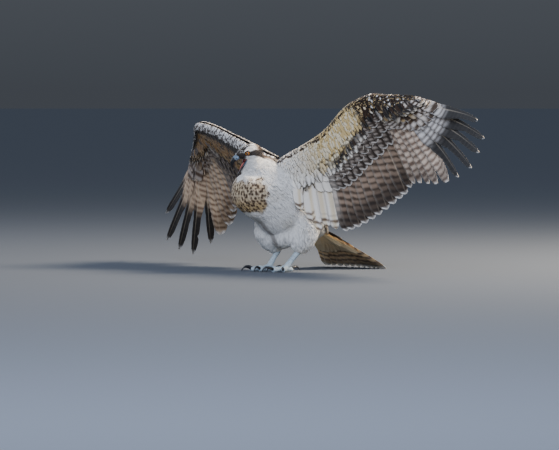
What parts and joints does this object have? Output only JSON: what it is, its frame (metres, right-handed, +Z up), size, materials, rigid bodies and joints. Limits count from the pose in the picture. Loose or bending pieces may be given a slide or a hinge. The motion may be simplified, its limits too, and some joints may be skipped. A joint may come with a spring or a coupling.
{
  "type": "osprey figure",
  "caption": "Young osprey standing with raised, spread wings, open hooked bill and fanned tail resting on the floor, life size.",
  "frame": {"origin": "Middle of the bird's bounding box seen from above, on the floor it stands on.", "axes": "+Z up. The bird faces -Y, its left wing reaches towards +X, which is the longest way."},
  "size_m": [1.4298, 0.4566, 0.46],
  "materials": {
    "white_feathers": "matte",
    "brown_feathers": "matte",
    "tail_feathers": "matte",
    "horn": "satin",
    "skin": "satin",
    "mouth": "moist",
    "eye": "glossy"
  },
  "bodies": {
    "root": {"torso": "white_feathers", "neck": "white_feathers", "head": "white_feathers", "thigh_left": "white_feathers", "thigh_right": "white_feathers", "wing_left_arm": "brown_feathers", "wing_left_hand": "brown_feathers", "wing_right_arm": "brown_feathers", "wing_right_hand": "brown_feathers", "tail": "tail_feathers", "bill_upper": "horn", "bill_lower": "horn", "shank_left": "skin", "shank_right": "skin", "foot_left": "skin", "foot_right": "skin", "tongue": "mouth", "eye_left": "eye", "eye_right": "eye", "claw_left_inner": "horn", "claw_left_middle": "horn", "claw_left_outer": "horn", "claw_left_hind": "horn", "claw_right_inner": "horn", "claw_right_middle": "horn", "claw_right_outer": "horn", "claw_right_hind": "horn"}
  },
  "joints": []
}
